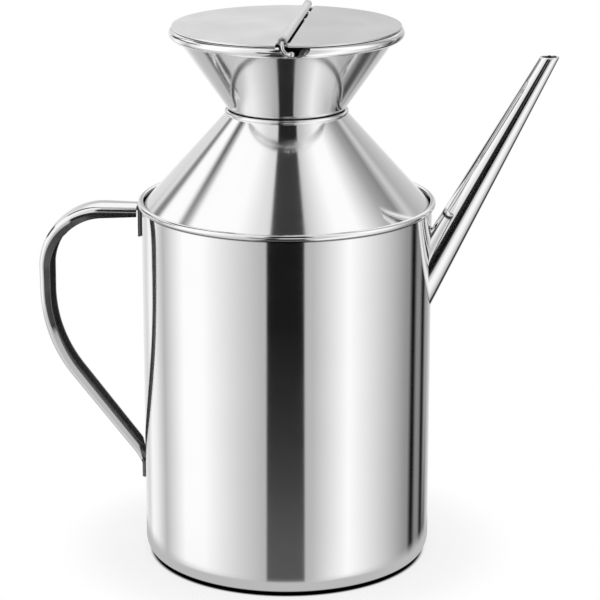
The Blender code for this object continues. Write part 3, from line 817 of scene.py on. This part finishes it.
def build_hinge_pin(material):
    """The wire through the knuckles, with both tails bent down and aside into the rim's notches."""
    knuckles_end = LID_RADIUS - KNUCKLE_END_MARGIN + SEAM_GAP + END_KNUCKLE_LENGTH
    straight = knuckles_end + PIN_END_PLAY * PIN_RADIUS
    far_path = []
    for reach, out, drop in PIN_TAIL:
        y = straight + out * PIN_TAIL_OUTSET
        far_path.append(Vector((reach * PIN_TAIL_REACH, y, -drop * PIN_TAIL_DROP)))
    far_radii = [PIN_RADIUS] * len(PIN_TAIL)
    for reach, width in PIN_HEAD:
        far_path.append(Vector((reach * PIN_TAIL_REACH, straight + PIN_TAIL_OUTSET, -PIN_TAIL_DROP)))
        far_radii.append(width * PIN_HEAD_RADIUS)
    near_path = [Vector((point.x, -point.y, point.z)) for point in reversed(far_path)]
    path = near_path + far_path
    radii = far_radii[::-1] + far_radii
    rings = []
    side = Vector((0.0, 0.0, 1.0))
    for index, point in enumerate(path):
        ahead = path[min(index + 1, len(path) - 1)]
        behind = path[max(index - 1, 0)]
        direction = (ahead - behind).normalized()
        side = (side - direction * side.dot(direction)).normalized()
        across = direction.cross(side)
        ring = []
        for step in range(PIN_STEPS):
            angle = 2.0 * math.pi * step / PIN_STEPS
            ring.append(point + (side * math.cos(angle) + across * math.sin(angle)) * radii[index])
        rings.append(ring)
    add_piece("pin", skinned(rings), material, "can", "hinge_pin", HINGE_PLACE)


# Handle strip
def trace_handle_path():
    """Stations down the strip's outer face, each as (x, z, heading, label), from tab to tab."""
    face = BODY_RADIUS + SEAM_GAP
    lean = math.radians(HANDLE_LEAN)
    after_grip = -HANDLE_REACH + HANDLE_GRIP_BEND * (1.0 - math.cos(lean))
    foot_start = -face - HANDLE_TAB_DEPTH - HANDLE_FOOT_BEND * (1.0 - math.cos(lean))
    diagonal = (foot_start - after_grip) / math.sin(lean)
    top_run = HANDLE_REACH - HANDLE_SHOULDER_BEND - face - HANDLE_TOP_BEND - FLANGE_SETBACK
    # Each move has a label, its length or the radius of its bend, its turn and its steps
    moves = [
        ("tab", TOP_TAB_LENGTH, 0.0, 8),
        ("top bend", HANDLE_TOP_BEND, 90.0, 12),
        ("flange start", FLANGE_SETBACK, 0.0, 1),
        ("top run", top_run, 0.0, 16),
        ("shoulder", HANDLE_SHOULDER_BEND, 90.0, 48),
        ("grip", HANDLE_GRIP_LENGTH, 0.0, 8),
        ("grip bend", HANDLE_GRIP_BEND, HANDLE_LEAN, 36),
        ("diagonal", diagonal, 0.0, 40),
        ("foot bend", HANDLE_FOOT_BEND, -HANDLE_LEAN, 10),
        ("foot tab", FOOT_TAB_LENGTH, 0.0, 6),
    ]
    x = -face
    z = HANDLE_TOP_HEIGHT - HANDLE_TOP_BEND - TOP_TAB_LENGTH
    heading = 90.0
    stations = [(x, z, heading, "tab")]
    for label, size, turn, steps in moves:
        for _ in range(steps):
            if turn == 0.0:
                step_length = size / steps
            else:
                step_length = 2.0 * size * math.sin(math.radians(0.5 * abs(turn) / steps))
                heading += 0.5 * turn / steps
            x += step_length * math.cos(math.radians(heading))
            z += step_length * math.sin(math.radians(heading))
            if turn != 0.0:
                heading += 0.5 * turn / steps
            stations.append((x, z, heading, label))
    return stations


def value_along(marks, length):
    """The value at a length along the strip, run straight between (length, value) marks."""
    if length <= marks[0][0]:
        return marks[0][1]
    for (low, low_value), (high, high_value) in zip(marks, marks[1:]):
        if length <= high:
            share = (length - low) / (high - low)
            return low_value + (high_value - low_value) * share
    return marks[-1][1]


def handle_section(half_width, depth, corner, lean_in):
    """The channel's outer and inner outlines as (across, inward) points, with the web's crown at zero."""
    outer_corner = min(corner, OUTER_CORNER_LIMIT * depth)
    inner_corner = min(outer_corner - 0.5 * HANDLE_SHEET, INNER_CORNER_LIMIT * (depth - HANDLE_SHEET))
    toe_in = math.tan(math.radians(lean_in)) * (depth - outer_corner)
    inner_half = half_width - HANDLE_SHEET
    reach = HANDLE_SHEET + inner_corner
    crown = min(HANDLE_CROWN, CROWN_LIMIT * (depth - HANDLE_TAB_DEPTH))
    lip_start = depth - HANDLE_LIP
    flange = lip_start - outer_corner - crown
    outer_side = [(half_width - toe_in - HANDLE_LIP, depth), (half_width - toe_in, lip_start)]
    for step in range(1, FLANGE_STEPS):
        share = step / FLANGE_STEPS
        outer_side.append((half_width - toe_in * (1.0 - share), lip_start - flange * share))
    for x, z in arc_points((0.0, 0.0), outer_corner, 0.0, 90.0, OUTER_CORNER_STEPS):
        outer_side.append((half_width - outer_corner + x, outer_corner - z + crown))
    for share in OUTER_WEB_SHARES:
        outer_side.append((share * (half_width - outer_corner), crown * share**2))
    inner_side = [(inner_half - toe_in + HANDLE_LIP, depth), (inner_half - toe_in, lip_start)]
    for x, z in arc_points((0.0, 0.0), inner_corner, 0.0, 90.0, CHANNEL_CORNER_STEPS):
        inner_side.append((inner_half - inner_corner + x, reach - z))
    for share in INNER_WEB_SHARES:
        inner_side.append((share * (inner_half - inner_corner), HANDLE_SHEET))
    outer = [(-x, z) for x, z in outer_side] + [(0.0, 0.0)] + outer_side[::-1]
    inner = inner_side + [(0.0, HANDLE_SHEET)] + [(-x, z) for x, z in reversed(inner_side)]
    return outer, inner


def build_handle(outside, inside):
    """The channel swept along its path, flattened to a tab at each end that follows the wall.

    Its inside, its cut edges and the tabs have the dark finish of painted shade.
    """
    stations = trace_handle_path()
    lengths = [0.0]
    for before, after in zip(stations, stations[1:]):
        lengths.append(lengths[-1] + math.dist(before[:2], after[:2]))
    end_of = {label: length for (_, _, _, label), length in zip(stations, lengths)}
    top_end = end_of["top bend"]
    flange_start = end_of["flange start"]
    shoulder_middle = 0.5 * (end_of["top run"] + end_of["shoulder"])
    grip_start = end_of["shoulder"]
    grip_end = end_of["grip bend"]
    foot_start = end_of["diagonal"]
    early_shoulder = (1.0 - WIDEST_SHARE) * end_of["top run"] + WIDEST_SHARE * grip_start
    grip_turn = (1.0 - NARROWEST_SHARE) * end_of["grip"] + NARROWEST_SHARE * grip_end
    widths = [(top_end, HANDLE_WALL_WIDTH), (early_shoulder, HANDLE_SHOULDER_WIDTH)]
    widths += [(grip_turn, HANDLE_GRIP_WIDTH), (foot_start, HANDLE_FOOT_WIDTH)]
    depths = [(top_end, HANDLE_TAB_DEPTH), (flange_start, HANDLE_TOP_DEPTH)]
    depths += [(shoulder_middle, HANDLE_SHOULDER_DEPTH), (grip_start, HANDLE_GRIP_DEPTH)]
    depths.append((end_of["grip"], HANDLE_GRIP_DEPTH))
    depths += [(foot_start - FLANGE_RUN_OUT, HANDLE_FOOT_DEPTH), (foot_start, HANDLE_TAB_DEPTH)]
    corners = [(end_of["top run"], HANDLE_TOP_CORNER), (grip_start, HANDLE_GRIP_CORNER)]
    wall_follow = [(end_of["tab"], 1.0), (top_end, 0.0), (foot_start, 0.0), (end_of["foot bend"], 1.0)]
    toe_ins = [(end_of["top run"], 0.0), (early_shoulder, SHOULDER_TOE_IN), (grip_start, GRIP_TOE_IN)]
    toe_ins += [(end_of["grip"], GRIP_TOE_IN), (grip_end, DIAGONAL_TOE_IN)]
    rings = []
    for (x, z, heading, _), length in zip(stations, lengths):
        half_width = 0.5 * value_along(widths, length)
        depth = value_along(depths, length)
        corner = value_along(corners, length)
        on_wall = value_along(wall_follow, length)
        inward = (-math.sin(math.radians(heading)), math.cos(math.radians(heading)))
        outer, inner = handle_section(half_width, depth, corner, value_along(toe_ins, length))
        ring = []
        for across, in_by in outer + inner:
            sag = on_wall * (BODY_RADIUS - math.sqrt(BODY_RADIUS**2 - across**2))
            ring.append((x + inward[0] * in_by + sag, across, z + inward[1] * in_by))
        rings.append(ring)
    inner_faces = [0, *range(len(outer) - 2, len(outer) + len(inner))]
    # The tabs and their bends get the painted shade
    painted_shade_runs = ("tab", "top bend", "foot bend", "foot tab")
    painted_shade_rows = [row for row, station in enumerate(stations[1:]) if station[3] in painted_shade_runs]
    builder = skinned(rings, second_finish=lambda row, place: row in painted_shade_rows or place in inner_faces)
    handle = add_piece("handle", builder, outside, "can", "handle_strip")
    handle.data.materials.append(inside)


# Studio
def camera_axes():
    """The level directions to the camera's right and from the can towards the camera."""
    angle = math.radians(CAMERA_AZIMUTH)
    right = Vector((math.cos(angle), math.sin(angle), 0.0))
    front = Vector((math.sin(angle), -math.cos(angle), 0.0))
    return right, front


def camera_place():
    """Where the camera stands."""
    return camera_axes()[1] * CAMERA_DISTANCE + Vector((0.0, 0.0, CAMERA_HEIGHT))


def build_camera():
    """The camera, fitted to the photograph."""
    right, front = camera_axes()
    yaw = math.radians(CAMERA_YAW)
    pitch = math.radians(CAMERA_PITCH)
    roll = math.radians(CAMERA_ROLL)
    level_ahead = right * math.sin(yaw) - front * math.cos(yaw)
    ahead = level_ahead * math.cos(pitch) - Vector((0.0, 0.0, math.sin(pitch)))
    level = right * math.cos(yaw) + front * math.sin(yaw)
    above = level.cross(ahead)
    side = level * math.cos(roll) + above * math.sin(roll)
    top = above * math.cos(roll) - level * math.sin(roll)
    data = bpy.data.cameras.new("camera")
    data.lens = CAMERA_LENS
    data.sensor_width = SENSOR_WIDTH
    data.clip_start = CLIP_START
    camera = bpy.data.objects.new("camera", data)
    matrix = Matrix((side, top, -ahead)).transposed().to_4x4()
    matrix.translation = camera_place()
    camera.matrix_world = matrix
    bpy.context.scene.collection.objects.link(camera)
    bpy.context.scene.camera = camera


def tent_brightness(tree):
    """What polished metal meets in each direction: panels, seams, rods, flags, and the slit in front."""
    right, front = camera_axes()
    direction = tree.nodes.new("ShaderNodeTexCoord").outputs["Generated"]
    across = direction_share(tree, direction, right)
    ahead = direction_share(tree, direction, front)
    height = direction_share(tree, direction, (0.0, 0.0, 1.0))
    depth = value_node(tree, "MULTIPLY", height, -1.0)
    azimuth = value_node(tree, "DEGREES", value_node(tree, "ARCTAN2", across, ahead))
    low = dimmed_by_seams(tree, azimuth, value_ramp(tree, azimuth, LOW_PANELS), LOW_SEAMS)
    high = dimmed_by_seams(tree, azimuth, value_ramp(tree, azimuth, HIGH_PANELS), HIGH_SEAMS)
    floor = dimmed_by_seams(tree, azimuth, value_ramp(tree, azimuth, FLOOR_PANELS), FLOOR_SEAMS)
    to_back = smooth_step(tree, value_node(tree, "ABSOLUTE", azimuth), *CEILING_ANGLES)
    ceiling = value_node(tree, "MULTIPLY", to_back, smooth_step(tree, height, *CEILING_HEIGHTS))
    high = blend_values(tree, ceiling, high, CEILING_WHITE)
    panels = blend_values(tree, smooth_step(tree, height, *HIGH_PANEL_LIMITS), low, high)
    panels = blend_values(tree, smooth_step(tree, depth, *FLOOR_PANEL_LIMITS), panels, floor)
    panels = value_node(tree, "MULTIPLY", panels, past_rods(tree, direction, azimuth))
    left_reach = value_ramp(tree, height, SLIT_LEFT_REACH)
    right_reach = value_ramp(tree, height, SLIT_RIGHT_REACH)
    inside_left = value_node(tree, "ADD", across, left_reach)
    outside_right = value_node(tree, "SUBTRACT", across, right_reach)
    past_left = smooth_step(tree, inside_left, -SLIT_SOFTNESS, SLIT_SOFTNESS)
    past_right = smooth_step(tree, outside_right, -SLIT_SOFTNESS, SLIT_SOFTNESS)
    in_front = smooth_step(tree, ahead, *SLIT_BACK_LIMITS)
    in_slit = value_node(tree, "MULTIPLY", value_node(tree, "SUBTRACT", past_left, past_right), in_front)
    light = blend_values(tree, in_slit, panels, value_ramp(tree, height, SLIT_LIGHTS))
    return value_node(tree, "MULTIPLY", light, past_flags(tree, azimuth, height))


def past_flags(tree, azimuth, height):
    """The share of light left where the flags are in the way."""
    light = 1.0
    for left, right, low, high, darkness in FLAGS:
        across = soft_span(tree, azimuth, left, right, FLAG_ANGLE_SOFTNESS)
        upright = soft_span(tree, height, low, high, FLAG_HEIGHT_SOFTNESS)
        taken = value_node(tree, "MULTIPLY", value_node(tree, "MULTIPLY", across, upright), darkness)
        light = value_node(tree, "MULTIPLY", light, value_node(tree, "SUBTRACT", 1.0, taken))
    return light


def past_rods(tree, direction, azimuth):
    """The share of light left past the rods, which lie on the cone of directions the spout mirrors."""
    lean = math.radians(SPOUT_LEAN)
    spout_line = Vector((math.sin(lean), 0.0, math.cos(lean)))
    half_rise = 0.5 * (SPOUT_TIP_HEIGHT - SPOUT_BASE_HEIGHT)
    middle = Vector((BODY_RADIUS + half_rise * math.tan(lean), 0.0, SPOUT_BASE_HEIGHT + half_rise))
    to_camera = (camera_place() - middle).normalized()
    along = direction_share(tree, direction, spout_line)
    away = value_node(tree, "ABSOLUTE", value_node(tree, "ADD", along, spout_line.dot(to_camera)))
    near_rod = value_node(tree, "SUBTRACT", 1.0, smooth_step(tree, away, *ROD_REACH))
    light = 1.0
    for start, full, full_end, end, darkness in RODS:
        on_rod = value_node(tree, "MULTIPLY", span(tree, azimuth, start, full, full_end, end), near_rod)
        taken = value_node(tree, "MULTIPLY", on_rod, darkness)
        light = value_node(tree, "MULTIPLY", light, value_node(tree, "SUBTRACT", 1.0, taken))
    return light


def build_world():
    """White for the camera, even light for the floor, and the light tent for polished metal."""
    world = bpy.data.worlds.new("studio")
    bpy.context.scene.world = world
    world.use_nodes = True
    tree = world.node_tree
    background = tree.nodes["Background"]
    path = tree.nodes.new("ShaderNodeLightPath")
    brightness = blend_values(tree, path.outputs["Is Glossy Ray"], 1.0, tent_brightness(tree))
    link_grey(tree, brightness, background.inputs["Color"])
    background.inputs["Strength"].default_value = 1.0


def distance_from(tree, centre):
    """How far the shaded point is from a place."""
    node = tree.nodes.new("ShaderNodeVectorMath")
    node.operation = "DISTANCE"
    tree.links.new(tree.nodes.new("ShaderNodeNewGeometry").outputs["Position"], node.inputs[0])
    node.inputs[1].default_value = centre
    return node.outputs["Value"]


def build_floor():
    """A pale floor that keeps the can's soft shadow, with a painted contact shadow at the can's foot; metal
    meets it only close under the can, as painted shade and a painted glow.
    """
    builder = bmesh.new()
    bmesh.ops.create_grid(
        builder,
        x_segments=FLOOR_SEGMENTS,
        y_segments=FLOOR_SEGMENTS,
        size=FLOOR_HALF_SIZE,
    )
    floor = add_mesh("floor", builder, (0.0, 0.0, -FLOOR_DROP))
    material = bpy.data.materials.new("pale_floor")
    material.use_nodes = True
    tree = material.node_tree
    tree.nodes.remove(tree.nodes["Principled BSDF"])
    output = tree.nodes["Material Output"]
    contact_radius = distance_from(tree, camera_axes()[1] * CONTACT_SHADE_FORWARD)
    radius = distance_from(tree, (0.0, 0.0, 0.0))
    # Painted contact shadow: paint and glow fade to black towards the can's foot
    open_share = smooth_step(tree, contact_radius, *CONTACT_SHADE_RADII)
    far_share = smooth_step(tree, radius, *FLOOR_FADE_RADII)
    paint = tree.nodes.new("ShaderNodeBsdfDiffuse")
    paint_tone = value_node(tree, "MULTIPLY", open_share, blend_values(tree, far_share, FLOOR_WHITE, 0.0))
    link_grey(tree, paint_tone, paint.inputs["Color"])
    glow = tree.nodes.new("ShaderNodeEmission")
    glow_level = value_node(tree, "MULTIPLY", open_share, blend_values(tree, far_share, FLOOR_GLOW, 1.0))
    tree.links.new(glow_level, glow.inputs["Strength"])
    seen = tree.nodes.new("ShaderNodeAddShader")
    tree.links.new(paint.outputs[0], seen.inputs[0])
    tree.links.new(glow.outputs[0], seen.inputs[1])
    # What metal mirrors of the floor: painted shade under the can and a painted glow beside it
    close_floor = tree.nodes.new("ShaderNodeEmission")
    past_shade = smooth_step(tree, radius, *MIRRORED_SHADE_RADII)
    close_level = value_node(tree, "MULTIPLY", past_shade, MIRRORED_FLOOR_WHITE)
    tree.links.new(close_level, close_floor.inputs["Strength"])
    clear = tree.nodes.new("ShaderNodeBsdfTransparent")
    mirrored = tree.nodes.new("ShaderNodeMixShader")
    tree.links.new(smooth_step(tree, radius, *MIRRORED_FLOOR_RADII), mirrored.inputs[0])
    tree.links.new(close_floor.outputs[0], mirrored.inputs[1])
    tree.links.new(clear.outputs[0], mirrored.inputs[2])
    path = tree.nodes.new("ShaderNodeLightPath")
    chosen = tree.nodes.new("ShaderNodeMixShader")
    tree.links.new(path.outputs["Is Glossy Ray"], chosen.inputs[0])
    tree.links.new(seen.outputs[0], chosen.inputs[1])
    tree.links.new(mirrored.outputs[0], chosen.inputs[2])
    tree.links.new(chosen.outputs[0], output.inputs["Surface"])
    floor.data.materials.append(material)


def main():
    """Builds every piece, the floor, the world and the camera."""
    painted_shade_steel = make_steel("painted_shade_steel")
    build_body(make_steel("polished_body"))
    build_shoulder(make_steel("polished_shoulder"))
    build_funnel(make_steel("polished_funnel"))
    build_spout(make_steel("polished_spout"), painted_shade_steel)
    build_handle(make_steel("polished_handle"), painted_shade_steel)
    build_lid_half("fixed_half", 1.0, "can", "lid_fixed_half", make_steel("satin_fixed_half"))
    build_lid_half("flap_half", -1.0, "flap", "lid_flap", make_steel("satin_flap"))
    build_hinge_pin(make_steel("polished_pin"))
    build_floor()
    build_world()
    build_camera()
    bpy.context.scene.view_settings.view_transform = "Standard"


main()
